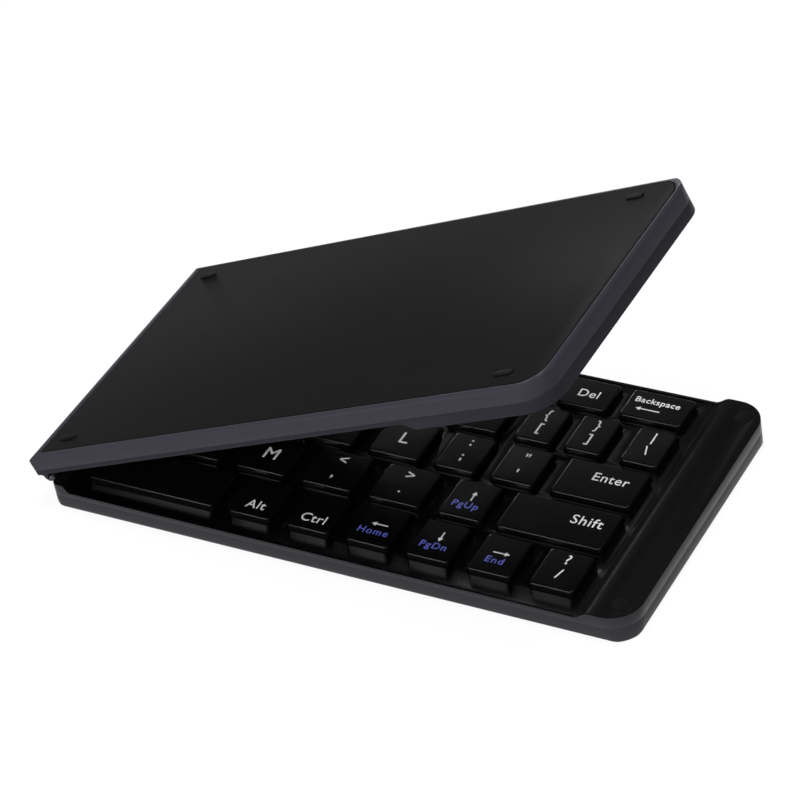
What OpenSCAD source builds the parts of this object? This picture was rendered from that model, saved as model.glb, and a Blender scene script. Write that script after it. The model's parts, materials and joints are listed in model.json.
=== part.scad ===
// Folding pocket keyboard: two equal halves on a hinge, shown ajar with the left half as the lid.
// Millimetres, +Z up. The hinge line runs along Y, the free edges lie at +X, the number row at +Y.
// Each half is drawn lying flat and open, outer face down; "u" is the distance from the hinge line.
// The left half is then mirrored and turned up about the hinge line to the resting opening angle.

/* [Case] */

// Distance from the hinge line to a free edge
half_width = 165; // [163:0.5:180]
// Front to back depth of each half
half_depth = 84; // [83.5:0.5:100]
// Thickness of one half, from outer face to the folding plane
half_thick = 7.75; // [7.5:0.05:9]
// Angle between the halves as shown, 0 is closed and 180 is flat
rest_angle = 21.8; // [0:0.1:180]
// Corner radius of the free corners, seen from above
corner_radius = 8; // [2.5:0.5:8]
// Wall thickness of the covers
wall = 1.2; // [1:0.1:2]
// Height of the joint line between the cover and the key frame
parting_height = 4.3; // [4.2:0.1:5.5]
// Height of the low side walls beside the keys
low_wall_height = 5.6; // [5:0.1:6.5]

/* [Keys] */

// Top face of the deck between the keys
deck_height = 5.3; // [4.9:0.05:5.5]
// Top face of the key caps
cap_top_height = 7.05; // [6.5:0.05:7.4]
// How far a key goes down
key_travel = 1.2; // [0.8:0.1:1.5]
// Front to back size of a cap's top in the four lower rows
cap_depth = 12.7; // [11:0.1:12.9]
// Front to back size of a cap's top in the number row
number_cap_depth = 9.9; // [8.5:0.1:10.2]
// Distance from one row of keys to the next
row_pitch = 16.1; // [15.9:0.05:16.2]
// Gap between a cap and its opening in the deck, all round
cap_clearance = 0.35; // [0.25:0.05:0.6]

/* [Hinge] */

// Outer radius of the hinge knuckles
knuckle_radius = 1.7; // [1.5:0.05:2]
// Radius of the steel hinge pins
pin_radius = 0.7; // [0.5:0.05:1]
// Radial play of the pins in the knuckles that turn
pin_play = 0.05; // [0.02:0.01:0.1]

/* [Hidden] */

$fn = 64;

// Roundings of the two hinge ends: outer edge of each half, and inner edge of the left half
right_end_round = 4.5;
left_end_round = 4;
left_inner_round = 3.2;
// Where each half's end face lies, measured from the hinge line
right_end = 1.95;
left_end = -1.8;

// The origin lies under the middle of the part, so the hinge line lies left of it
spine_reach = (left_end + left_end_round) * cos(rest_angle)
  - (half_thick - left_end_round) * sin(rest_angle) - left_end_round;
hinge_x = -(half_width + spine_reach) / 2;
// Rubber feet stand this far out of the outer faces
foot_proud = 0.4;

// Gap between the inner faces and the folding plane
face_gap = 0.15;
inner_height = half_thick - face_gap;
floor_thick = 1.1;
plate_thick = 0.4;
rim_width = 0.8;
deck_thick = 1.2;
skin = 1;
edge_radius = 1.2;
// Where each border bar starts to rise from the deck
right_ramp = 149.8;
left_ramp = 121;
ramp_length = 4.2;
// Raised bar along the hinge end
hinge_bar = 3.4;
hinge_ramp = 1.8;

first_row_y = -35.5;
cap_flare = 0.35;
cap_height = 2.35;
cap_top_thick = 0.9;
cap_wall = 0.7;
cap_bevel = 0.4;
cap_corner = 1.2;
narrow = 11.3;
narrow_pitch = 16.8;
letter = 13.9;
letter_pitch = 19.15;
number = 13;

// Stack of layers under the keys
support_low = 2.2;
support_thick = 0.4;
film_thick = 0.3;
film_top = support_low + support_thick + film_thick;
dome_top = cap_top_height - cap_top_thick - 0.08;

// Hinge knuckles along Y: three at the front, three at the back, and a hollow barrel in the middle
knuckle_length = 4;
knuckle_gap = 0.2;
hinge_front = -39.6;
middle_barrel = 22;
barrel_end = 7.3;
barrel_middle = 7;
barrel_bore = 1.1;
relief = knuckle_radius + 0.35;
// Necks of the right knuckles, kept short so that the left half clears them when open flat
right_neck_depth = 1.25;

// Ribbon between the halves, rolled inside the barrel
ribbon_thick = 0.15;
ribbon_width = 4;
ribbon_y = 5.2;

magnet_u = 158.5;
magnet_y = 24;
foot_us = [9.6, 151.4];
foot_y = 35.5;
pad_u = 160;
pad_y = 36.4;
pad_radius = 2.3;

// Outer plate: how far it stays inside the outline, and the groove round it
plate_margin = 1.5;
plate_in = 3.2;
groove = 0.2;

// Screw posts stand between rows of keys: distances from the hinge line, and their two lines
right_posts = [17, 82, 144];
left_posts = [17, 82, 116];
post_ys = [-38.4, 27.2];
post_radius = 1.1;
screw_radius = 0.55;

// Things in the left border bar; "back" is the outer face of the back wall
back = half_depth / 2;
board_low = 1.5;
board_thick = 0.8;
board_u = 127;
board_length = 30.5;
battery_u = 127.5;
battery_width = 18;
port_u = 149;
port_z = 3.9;
switch_u = 133;
switch_z = 3.4;
switch_travel = 3;

// ---- helpers ----

// Puts a node of the right half in the shared frame
module right_half() {
  translate([hinge_x, 0, foot_proud]) children();
}

// Puts a node of the left half in the shared frame, turned up about the hinge line
module left_half() {
  translate([hinge_x, 0, foot_proud + half_thick])
    rotate([0, 180 - rest_angle, 0])
      mirror([1, 0, 0])
        translate([0, 0, -half_thick])
          children();
}

// Rectangle with round corners from its low corner
module round_rect(x, y, w, d, r) {
  translate([x + r, y]) square([w - 2 * r, d]);
  translate([x, y + r]) square([w, d - 2 * r]);
  for (cx = [x + r, x + w - r])
    for (cy = [y + r, y + d - r])
      translate([cx, cy]) circle(r);
}

// The piece that a rounded corner takes off, pointing away from the corner at the origin
module corner_bite(r) {
  difference() {
    translate([-1, -1]) square([r + 1, r + 1]);
    translate([r, r]) circle(r);
  }
}

// Extrudes a drawing made in X and Z along Y, centred
module along_y(length) {
  rotate([90, 0, 0]) linear_extrude(length, center = true) children();
}

// Extrudes a drawing made in Y and Z along X
module along_x(start, length) {
  translate([start, 0, 0]) rotate([90, 0, 90]) linear_extrude(length) children();
}

// Outline of a half seen from above, moved in by a margin
module outline(end_u, margin) {
  r = corner_radius - margin;
  inner_r = 2;
  w = half_width - end_u - 2 * margin;
  d = half_depth - 2 * margin;
  difference() {
    translate([end_u + margin, -d / 2]) square([w, d]);
    for (m = [0, 1])
      mirror([0, m]) {
        translate([half_width - margin, -d / 2]) mirror([1, 0]) corner_bite(r);
        if (margin < 1) translate([end_u + margin, -d / 2]) corner_bite(inner_r);
      }
  }
}

// Side view of a half: end_bottom and end_top round the hinge end, the free edge has a small radius
module side_view(end_u, end_bottom, end_top) {
  difference() {
    translate([end_u, 0]) square([half_width - end_u, inner_height]);
    translate([end_u, 0]) corner_bite(end_bottom);
    translate([half_width, 0]) mirror([1, 0]) corner_bite(edge_radius);
    if (end_top > 0) translate([end_u, inner_height]) mirror([0, 1]) corner_bite(end_top);
  }
}

// End view of a half, with its two lower long edges rounded
module end_view() {
  difference() {
    translate([-half_depth / 2, 0]) square([half_depth, half_thick]);
    for (m = [0, 1])
      mirror([m, 0]) translate([-half_depth / 2, 0]) corner_bite(edge_radius);
  }
}

// Height of a soft step, for t from 0 to 1
function soft(t) = t * t * (3 - 2 * t);

// Everything above the walls: low beside the keys, high at the hinge end and over the border
module above_walls(floor_z, end_u, ramp_u) {
  top = half_thick + 1;
  steps = 8;
  rise = inner_height - floor_z;
  left = [for (i = [0:steps])
    [end_u + hinge_bar + hinge_ramp * i / steps, inner_height - rise * soft(i / steps)]];
  right = [for (i = [0:steps])
    [ramp_u + ramp_length * i / steps, floor_z + rise * soft(i / steps)]];
  polygon(concat([[end_u + hinge_bar, top]], left, right, [[ramp_u + ramp_length, top]]));
}

// Solid block of one half, outer faces only
module block(end_u, end_bottom, end_top) {
  intersection() {
    linear_extrude(half_thick) outline(end_u, 0);
    along_y(half_depth + 2) side_view(end_u, end_bottom, end_top);
    along_x(end_u - 1, half_width - end_u + 2) end_view();
  }
}

// A slab over the whole plan between two heights
module slab(low, high) {
  translate([-10, -half_depth, low]) cube([half_width + 20, 2 * half_depth, high - low]);
}

// ---- key positions: [left edge in u, width] per key, from the hinge outwards ----

function spread(start, pitch, width, count) = [for (i = [0:count - 1]) [start + i * pitch, width]];

right_row_1 = concat(spread(10.2, 17, number, 6), [[112.1, number], [129.4, 16.4]]);
right_row_2 = concat(spread(11.8, letter_pitch, letter, 5), [[107.6, 9.6], [121.6, 9.6], [137.1, 9.6]]);
right_row_3 = concat(
  spread(16.9, letter_pitch, letter - 0.2, 4), [[93.2, 10.9], [109, narrow], [125.7, 20.9]]
);
right_row_4 = concat(
  [[7.9, 11.6]], spread(24.95, letter_pitch + 0.1, letter, 4), [[102.5, narrow], [118.6, 28.1]]
);
right_row_5 = concat([[9.7, 36.6]], spread(51.5, narrow_pitch, narrow, 6));

left_row_1 = spread(5.9, 16.8, 12.8, 7);
left_row_2 = concat(spread(10, letter_pitch, letter, 5), [[105.7, 13.8]]);
left_row_3 = concat(spread(5.9, letter_pitch, letter, 5), [[101.6, 17.9]]);
left_row_4 = concat(spread(15.5, letter_pitch, letter, 4), [[92.1, 27.4]]);
left_row_5 = concat([[6.2, 46.5]], spread(57.8, narrow_pitch, narrow, 4));

right_rows = [right_row_1, right_row_2, right_row_3, right_row_4, right_row_5];
left_rows = [left_row_1, left_row_2, left_row_3, left_row_4, left_row_5];

// Row 0 is the number row at the back, row 4 is the space bar's row
function row_y(row) = first_row_y + (4 - row) * row_pitch;
function row_depth(row) = row == 0 ? number_cap_depth : cap_depth;

// ---- key parts ----

// One key cap: a hollow shell with a bevelled top
module cap(row, key) {
  x = key[0] - cap_flare;
  y = row_y(row) - cap_flare;
  w = key[1] + 2 * cap_flare;
  d = row_depth(row) + 2 * cap_flare;
  low = cap_top_height - cap_height;
  difference() {
    intersection() {
      translate([0, 0, low]) linear_extrude(cap_height) round_rect(x, y, w, d, cap_corner);
      translate([0, y + d / 2, 0]) along_y(d + 1) cap_slope(x, w, low);
      along_x(x - 1, w + 2) cap_slope(y, d, low);
    }
    translate([0, 0, low - 1])
      linear_extrude(cap_height - cap_top_thick + 1)
        round_rect(x + cap_wall, y + cap_wall, w - 2 * cap_wall, d - 2 * cap_wall, cap_corner - cap_wall);
  }
}

// Outline of a cap seen from one side
module cap_slope(start, size, low) {
  polygon([
    [start, low], [start + size, low],
    [start + size, cap_top_height - cap_bevel],
    [start + size - cap_flare, cap_top_height],
    [start + cap_flare, cap_top_height],
    [start, cap_top_height - cap_bevel]
  ]);
}

module caps(row, keys) {
  for (key = keys) cap(row, key);
}

// Opening in the deck for one key
module opening(row, key) {
  m = cap_flare + cap_clearance;
  round_rect(key[0] - m, row_y(row) - m, key[1] + 2 * m, row_depth(row) + 2 * m, cap_corner);
}

// Rubber dome in the middle of a key
module dome(row, key) {
  translate([key[0] + key[1] / 2, row_y(row) + row_depth(row) / 2, film_top]) {
    cylinder(0.4, 3.1, 3.1);
    translate([0, 0, 0.4]) cylinder(dome_top - film_top - 0.9, 2.6, 1.5);
    translate([0, 0, dome_top - film_top - 0.5]) cylinder(0.5, 1.5, 1.5);
  }
}

// Two crossed arms on each side of the dome, with a rod across at each end
module scissor(row, key) {
  span = 7.2;
  half = 3.6;
  low = film_top + 0.35;
  rise = dome_top - 0.4 - low;
  lean = atan(rise / span);
  length = sqrt(span * span + rise * rise);
  bar = 0.5;
  translate([key[0] + key[1] / 2, row_y(row) + row_depth(row) / 2, low + rise / 2]) {
    for (side = [-1, 1]) {
      translate([side * half, 0, 0]) rotate([lean, 0, 0]) cube([bar, length, bar], center = true);
      translate([side * (half - bar), 0, 0]) rotate([-lean, 0, 0]) cube([bar, length, bar], center = true);
    }
    for (y = [-1, 1]) {
      translate([0, y * span / 2, y * rise / 2]) cube([2 * half + bar, bar, bar], center = true);
      translate([0, y * span / 2, -y * rise / 2]) cube([2 * half - bar, bar, bar], center = true);
    }
  }
}

// ---- hinge ----

// Round eye on the hinge line; the neck joins it to its half between two u values, down to a depth
module eye(y, length, neck_from, neck_to, neck_depth, bore) {
  translate([0, y, half_thick])
    difference() {
      union() {
        rotate([-90, 0, 0]) cylinder(length, knuckle_radius, knuckle_radius);
        translate([neck_from, 0, -neck_depth]) cube([neck_to - neck_from, length, neck_depth - face_gap]);
      }
      translate([0, -1, 0]) rotate([-90, 0, 0]) cylinder(length + 2, bore, bore);
    }
}

// Start of pin knuckle n in the front group
function knuckle_y(n) = hinge_front + n * (knuckle_length + knuckle_gap);

// Knuckles of the right half: the outer two of each group, and both ends of the middle barrel
module right_eyes() {
  for (m = [0, 1])
    mirror([0, m, 0]) {
      for (n = [0, 2])
        eye(knuckle_y(n), knuckle_length, 0, right_end + 0.6, right_neck_depth, pin_radius);
      eye(-middle_barrel / 2, barrel_end, 0, right_end + 0.6, right_neck_depth, barrel_bore);
    }
}

// Knuckles of the left half: the middle one of each group, and the middle of the barrel
module left_eyes() {
  for (m = [0, 1])
    mirror([0, m, 0])
      eye(knuckle_y(1), knuckle_length, -1.1, 1.1, relief + 0.6, pin_radius + pin_play);
  eye(-barrel_middle / 2, barrel_middle, -1.1, 1.1, relief + 0.6, barrel_bore);
}

// Space round the hinge line that a half keeps clear of the other half's knuckles
module hinge_relief() {
  translate([0, 0, half_thick])
    rotate([90, 0, 0]) cylinder(half_depth + 2, relief, relief, center = true);
}

// Way for the ribbon from the hollow barrel into the right half
module right_ribbon_way() {
  y = ribbon_y - 0.3;
  w = ribbon_width + 0.6;
  translate([0.3, y, 6.15]) cube([1.5, w, half_thick - 0.75 - 6.15]);
  translate([0.9, y, 6.15]) cube([4.2, w, 0.5]);
  translate([4.5, y, 2.95]) cube([0.6, w, 3.7]);
  translate([4.5, y, 2.95]) cube([4, w, 0.45]);
}

// Way for the ribbon down through the left half's barrel neck and into the left half
module left_ribbon_way() {
  w = ribbon_width + 0.6;
  translate([-0.2, -w / 2, 2.95]) cube([0.5, w, half_thick - 3.85]);
  translate([-0.2, -w / 2, 2.95]) cube([4, w, 0.45]);
}

// ---- covers and frames ----

// Places of the screw posts of a half
module at_posts(us) {
  for (u = us)
    for (y = post_ys)
      translate([u, y, 0]) children();
}

// Outer tray of a half
module cover(end_u, end_bottom, end_top, posts) {
  under_deck = deck_height - deck_thick;
  difference() {
    union() {
      difference() {
        intersection() {
          block(end_u, end_bottom, end_top);
          slab(-1, parting_height);
        }
        translate([0, 0, floor_thick])
          linear_extrude(half_thick) outline(end_u + end_bottom - wall, wall);
      }
      // Posts that take the screws, and ribs that carry the plate under the keys
      at_posts(posts)
        translate([0, 0, floor_thick]) cylinder(under_deck - floor_thick, post_radius, post_radius);
      for (u = [30, 60, 90])
        translate([u, -half_depth / 2 + 6, floor_thick])
          cube([1.2, half_depth - 12, support_low - floor_thick]);
    }
    // Recess for the outer plate
    translate([0, 0, -1])
      linear_extrude(plate_thick + 1) outline(end_u + plate_in, plate_margin);
    at_posts(posts) {
      translate([0, 0, -1]) cylinder(5, screw_radius, screw_radius);
      translate([0, 0, -1]) cylinder(plate_thick + 1.4, 1.5, 1.5);
    }
  }
}

// Key frame of a half: deck with the key openings, low walls, border bar and hinge bar
module frame(end_u, end_bottom, end_top, ramp_u, rows) {
  under_deck = deck_height - deck_thick;
  hollow_start = ramp_u + ramp_length;
  difference() {
    intersection() {
      block(end_u, end_bottom, end_top);
      union() {
        slab(parting_height, half_thick);
        // The deck hangs inside the cover's walls
        translate([0, 0, under_deck])
          linear_extrude(1) outline(end_u + end_bottom - wall + 0.1, wall + 0.1);
      }
    }
    along_y(half_depth + 2) above_walls(low_wall_height, end_u, ramp_u);
    along_y(half_depth - 2 * rim_width) above_walls(deck_height, end_u, ramp_u);
    // Hollow of the border bar
    translate([0, 0, under_deck - 1])
      linear_extrude(inner_height - skin - under_deck + 1)
        difference() {
          outline(end_u + 10, wall + 0.1);
          translate([-20, -half_depth]) square([hollow_start + 20, 2 * half_depth]);
        }
    // Key openings
    translate([0, 0, under_deck - 1])
      linear_extrude(deck_thick + 2)
        for (row = [0:4]) for (key = rows[row]) opening(row, key);
    hinge_relief();
  }
}

// Thin sheet under the keys, with clear holes round the screw posts
module sheet_layer(low, thick, start_u, end_at, posts) {
  front = -half_depth / 2 + 1.6;
  translate([0, 0, low])
    linear_extrude(thick)
      difference() {
        translate([start_u, front]) square([end_at - start_u, -2 * front]);
        for (u = posts) for (y = post_ys) translate([u, y]) circle(post_radius + 0.3);
      }
}

// Screws with flat heads, driven in from outside under the plate
module screws(posts) {
  at_posts(posts)
    translate([0, 0, plate_thick]) {
      cylinder(0.4, 1.45, 1.45);
      cylinder(3, screw_radius - 0.01, screw_radius - 0.01);
    }
}

// Long rubber foot with round ends
module foot(u, y) {
  translate([u, y, -foot_proud]) linear_extrude(foot_proud) stadium(5.2, 2.2);
}

module feet() {
  for (u = foot_us) for (y = [-foot_y, foot_y]) foot(u, y);
}

// Outer plate with a narrow groove left round it
module plate(end_u) {
  linear_extrude(plate_thick) outline(end_u + plate_in, plate_margin + groove);
}

// Flat magnets glued under the border bar's skin, which hold the halves together
module magnets() {
  for (y = [-magnet_y, magnet_y])
    translate([magnet_u - 2.5, y - 6, inner_height - skin - 1.8]) cube([5, 12, 1.8]);
}

// ---- nodes of the right half ----

module right_bottom_cover() {
  color("#2f2f32") right_half()
    difference() {
      cover(right_end, right_end_round, 0, right_posts);
      right_ribbon_way();
    }
}

module right_cover_plate() {
  color("#1f1f21") right_half() plate(right_end);
}

module right_key_frame() {
  color("#121214") right_half()
    difference() {
      union() {
        frame(right_end, right_end_round, 0, right_ramp, right_rows);
        right_eyes();
      }
      right_ribbon_way();
      // The pads are let into the border bar
      for (y = [-pad_y, pad_y])
        translate([pad_u, y, inner_height - 0.3]) cylinder(1, pad_radius, pad_radius);
    }
}

module right_bumper_pads() {
  color("#0c0c0d") right_half()
    for (y = [-pad_y, pad_y])
      translate([pad_u, y, inner_height - 0.3]) cylinder(0.38, pad_radius, pad_radius);
}

module right_support_plate() {
  color("#8f9296") right_half()
    sheet_layer(support_low, support_thick, 8, right_ramp - 0.5, right_posts);
}

module right_switch_film() {
  color("#c9c7b8") right_half()
    sheet_layer(support_low + support_thick, film_thick, 8.5, right_ramp - 1, right_posts);
}

module right_rubber_domes() {
  color("#e8e6df") right_half()
    for (row = [0:4]) for (key = right_rows[row]) dome(row, key);
}

module right_scissor_links() {
  color("#d9d9d4") right_half()
    for (row = [0:4]) for (key = right_rows[row]) scissor(row, key);
}

module right_magnets() {
  color("#b9bcc0") right_half() magnets();
}

module right_feet() {
  color("#0a0a0a") right_half() feet();
}

module right_screws() {
  color("#9c9ea2") right_half() screws(right_posts);
}

// Steel pins, held by the right half's knuckles; the left half's knuckles turn on them
module hinge_pins() {
  length = 3 * knuckle_length + 2 * knuckle_gap;
  color("#b4b6ba") right_half()
    for (m = [0, 1])
      mirror([0, m, 0])
        translate([0, hinge_front, half_thick])
          rotate([-90, 0, 0]) cylinder(length, pin_radius, pin_radius);
}

// One turn of the ribbon inside the barrel
module ribbon_turn(y, length, outer) {
  translate([0, y, half_thick]) rotate([-90, 0, 0])
    difference() {
      cylinder(length, outer, outer);
      translate([0, 0, -1]) cylinder(length + 2, outer - ribbon_thick, outer - ribbon_thick);
    }
}

// Outer turn of the ribbon and its tail in the right half
module flex_cable_roll() {
  color("#a8622a") right_half() {
    ribbon_turn(ribbon_y, ribbon_width, 1);
    translate([0.3, ribbon_y, half_thick - 1]) cube([1.2, ribbon_width, ribbon_thick]);
    translate([1.35, ribbon_y, 6.3]) cube([ribbon_thick, ribbon_width, half_thick - 1 - 6.3 + ribbon_thick]);
    translate([1.35, ribbon_y, 6.3]) cube([3.45, ribbon_width, ribbon_thick]);
    translate([4.65, ribbon_y, 3.05]) cube([ribbon_thick, ribbon_width, 3.4]);
    translate([4.65, ribbon_y, 3.05]) cube([6, ribbon_width, ribbon_thick]);
  }
}

// ---- nodes of the left half ----

// Openings in the back wall of the left half for the charging port and the switch knob
module back_wall_openings() {
  translate([port_u, back - 4, port_z]) rotate([-90, 0, 0])
    linear_extrude(8) stadium(9.2, 3.4);
  translate([switch_u - 4, back - 4, switch_z - 0.8]) cube([8, 8, 1.6]);
}

// Flat shape with round ends, centred
module stadium(w, h) {
  square([w - h, h], center = true);
  for (x = [-1, 1]) translate([x * (w - h) / 2, 0]) circle(h / 2);
}

module left_bottom_cover() {
  color("#3a393f") left_half() {
    difference() {
      cover(left_end, left_end_round, left_inner_round, left_posts);
      left_ribbon_way();
      back_wall_openings();
    }
    // Stands under the battery and the board
    for (y = [-30, 7])
      translate([battery_u, y, floor_thick]) cube([battery_width, 2, board_low - floor_thick]);
    for (y = [back - 25, back - 9])
      translate([board_u, y, floor_thick]) cube([board_length, 2, board_low - floor_thick]);
  }
}

module left_cover_plate() {
  color("#242325") left_half() plate(left_end);
}

module left_key_frame() {
  color("#121214") left_half()
    difference() {
      union() {
        frame(left_end, left_end_round, left_inner_round, left_ramp, left_rows);
        left_eyes();
      }
      left_ribbon_way();
      back_wall_openings();
    }
}

module left_support_plate() {
  color("#8f9296") left_half()
    sheet_layer(support_low, support_thick, 4, left_ramp - 0.5, left_posts);
}

module left_switch_film() {
  color("#c9c7b8") left_half()
    sheet_layer(support_low + support_thick, film_thick, 4.5, left_ramp - 1, left_posts);
}

module left_rubber_domes() {
  color("#e8e6df") left_half()
    for (row = [0:4]) for (key = left_rows[row]) dome(row, key);
}

module left_scissor_links() {
  color("#d9d9d4") left_half()
    for (row = [0:4]) for (key = left_rows[row]) scissor(row, key);
}

module left_magnets() {
  color("#b9bcc0") left_half() magnets();
}

module left_feet() {
  color("#0a0a0a") left_half() feet();
}

module left_screws() {
  color("#9c9ea2") left_half() screws(left_posts);
}

// Board with its chip, and the body of the slide switch
module main_board() {
  top = board_low + board_thick;
  color("#1f5a36") left_half() {
    translate([board_u, back - 28, board_low]) cube([board_length, 26, board_thick]);
    translate([board_u + 11, back - 22, top]) cube([7, 7, 1]);
    difference() {
      translate([switch_u - 5, back - 6.5, top]) cube([10, 4.8, 2.2]);
      translate([switch_u - 3.3, back - 5, top + 0.3]) cube([6.6, 4, 1.6]);
    }
  }
}

module battery() {
  color("#6f7278") left_half()
    translate([battery_u, -33, board_low]) cube([battery_width, 45, 4.4]);
}

// Shell of the charging socket with its tongue
module charging_port() {
  color("#a9acb0") left_half()
    translate([port_u, back - 7.4, port_z]) rotate([-90, 0, 0]) {
      difference() {
        linear_extrude(7.2) stadium(8.9, 3.2);
        translate([0, 0, 1]) linear_extrude(8) stadium(8.3, 2.6);
      }
      translate([-3.1, -0.35, 0.5]) cube([6.2, 0.7, 5.2]);
    }
}

module power_switch_knob() {
  color("#161617") left_half()
    translate([switch_u - switch_travel / 2, back - 4.4, switch_z])
      translate([-1.6, 0, -0.65]) cube([3.2, 4.3, 1.3]);
}

// Inner turn of the ribbon and its tail in the left half
module flex_cable_tail() {
  color("#a8622a") left_half() {
    ribbon_turn(-ribbon_width / 2, ribbon_y + 1.5 * ribbon_width, 0.65);
    translate([-0.05, -ribbon_width / 2, 3.05])
      cube([ribbon_thick, ribbon_width, half_thick - 3.05 - 0.55]);
    translate([-0.05, -ribbon_width / 2, 3.05]) cube([7, ribbon_width, ribbon_thick]);
  }
}

// ---- key caps ----

// Keys with a node of their own: name, row, and place in the row from the hinge
SINGLE_KEYS = [
  ["key_space", 4, 0],
  ["key_alt", 4, 1],
  ["key_ctrl", 4, 2],
  ["key_home", 4, 3],
  ["key_page_down", 4, 4],
  ["key_end", 4, 5],
  ["key_slash", 4, 6],
  ["key_n", 3, 1],
  ["key_m", 3, 2],
  ["key_comma", 3, 3],
  ["key_period", 3, 4],
  ["key_page_up", 3, 5],
  ["key_shift", 3, 6],
  ["key_k", 2, 2],
  ["key_l", 2, 3],
  ["key_semicolon", 2, 4],
  ["key_quote", 2, 5],
  ["key_enter", 2, 6],
  ["key_p", 1, 4],
  ["key_bracket_open", 1, 5],
  ["key_bracket_close", 1, 6],
  ["key_backslash", 1, 7],
  ["key_delete", 0, 6],
  ["key_backspace", 0, 7]
];

module single_key(entry) {
  color("#151516") right_half() cap(entry[1], right_rows[entry[1]][entry[2]]);
}

module keys_seven_to_equals() {
  color("#151516") right_half() for (i = [0:5]) cap(0, right_row_1[i]);
}

module keys_y_to_o() {
  color("#151516") right_half() for (i = [0:3]) cap(1, right_row_2[i]);
}

module keys_h_j_b() {
  color("#151516") right_half() {
    for (i = [0:1]) cap(2, right_row_3[i]);
    cap(3, right_row_4[0]);
  }
}

module left_row_caps(row) {
  color("#151516") left_half() for (key = left_rows[row]) cap(row, key);
}

// ---- nodes to draw ----

LEFT_KEY_ROWS = [
  "left_number_row_keys",
  "left_tab_row_keys",
  "left_caps_row_keys",
  "left_shift_row_keys",
  "left_space_row_keys"
];

right_bottom_cover();
right_cover_plate();
right_key_frame();
right_bumper_pads();
right_support_plate();
right_switch_film();
right_rubber_domes();
right_scissor_links();
right_magnets();
right_feet();
right_screws();
hinge_pins();
flex_cable_roll();
left_bottom_cover();
left_cover_plate();
left_key_frame();
left_support_plate();
left_switch_film();
left_rubber_domes();
left_scissor_links();
left_magnets();
left_feet();
left_screws();
main_board();
battery();
charging_port();
power_switch_knob();
flex_cable_tail();
keys_seven_to_equals();
keys_y_to_o();
keys_h_j_b();
for (k = SINGLE_KEYS)
  single_key(k);
for (row = [0:4])
  left_row_caps(row);
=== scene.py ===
"""Looks of a folding pocket keyboard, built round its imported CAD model.

Lengths in the classes are millimetres unless a name says otherwise, and are turned into
metres where a mesh is made. "Half coordinates" are those of a half that lies flat and open:
x from the hinge line (negative on the left half), y towards the number row, z up from the
half's outer face.
"""

from __future__ import annotations

import json
import logging
import math
from collections.abc import Callable, Iterable, Sequence
from dataclasses import dataclass, field
from enum import Enum

import bmesh
import bpy
from mathutils import Matrix, Vector

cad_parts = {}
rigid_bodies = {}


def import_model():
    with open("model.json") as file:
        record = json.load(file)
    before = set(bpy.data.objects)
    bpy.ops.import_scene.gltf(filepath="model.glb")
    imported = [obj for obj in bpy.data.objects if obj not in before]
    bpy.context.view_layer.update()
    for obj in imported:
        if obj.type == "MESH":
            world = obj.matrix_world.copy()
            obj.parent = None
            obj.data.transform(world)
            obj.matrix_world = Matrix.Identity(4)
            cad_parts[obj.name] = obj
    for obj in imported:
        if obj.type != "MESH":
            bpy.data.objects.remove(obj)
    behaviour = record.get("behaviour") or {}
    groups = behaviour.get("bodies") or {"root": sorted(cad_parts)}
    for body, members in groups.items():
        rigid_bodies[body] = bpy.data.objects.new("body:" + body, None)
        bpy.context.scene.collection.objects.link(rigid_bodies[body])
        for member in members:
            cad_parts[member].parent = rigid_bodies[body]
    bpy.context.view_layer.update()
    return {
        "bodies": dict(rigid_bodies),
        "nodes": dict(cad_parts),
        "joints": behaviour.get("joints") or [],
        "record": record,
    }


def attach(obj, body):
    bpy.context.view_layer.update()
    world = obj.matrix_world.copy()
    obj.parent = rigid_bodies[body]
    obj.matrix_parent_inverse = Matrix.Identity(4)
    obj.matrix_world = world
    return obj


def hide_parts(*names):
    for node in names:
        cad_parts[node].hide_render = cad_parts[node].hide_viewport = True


LOG = logging.getLogger("folding_keyboard")
MM = 0.001

# ---------------------------------------------------------------- measures


@dataclass(frozen=True)
class Case:
    """Main measures of the two halves, the same as in the CAD source."""

    width: float = 165.0
    depth: float = 84.0
    thick: float = 7.75
    foot: float = 0.4
    corner: float = 8.0
    opening_deg: float = 21.8
    cap_top: float = 7.05
    # Where the lid's hinge end lies from the hinge line, and how round it is
    lid_end: float = -1.8
    lid_end_round: float = 4.0

    @property
    def hinge_x(self) -> float:
        """X of the hinge line in the row frame, whose origin is under the part's middle.

        Returns:
            The place in millimetres.
        """
        turn = math.radians(self.opening_deg)
        along = (self.lid_end + self.lid_end_round) * math.cos(turn)
        across = (self.thick - self.lid_end_round) * math.sin(turn)
        lid_reach = along - across - self.lid_end_round
        return -(self.width + lid_reach) / 2


CASE = Case()


class Side(Enum):
    """The two halves: the right one lies on the desk, the left one is the lid."""

    RIGHT = "right"
    LEFT = "left"

    @property
    def body(self) -> str:
        """Name of the CAD body of this half."""
        return f"{self.value}_half"

    def matrix(self) -> Matrix:
        """Half coordinates in millimetres to the row frame in metres, at rest.

        Returns:
            The 4 x 4 matrix of this half.
        """
        scale = Matrix.Diagonal((MM, MM, MM, 1.0))
        if self is Side.RIGHT:
            return scale @ Matrix.Translation((CASE.hinge_x, 0.0, CASE.foot))
        turn = math.pi - math.radians(CASE.opening_deg)
        up = Matrix.Translation((CASE.hinge_x, 0.0, CASE.foot + CASE.thick))
        return scale @ up @ Matrix.Rotation(turn, 4, "Y") @ Matrix.Translation((0, 0, -CASE.thick))


# ---------------------------------------------------------------- finishes


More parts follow.
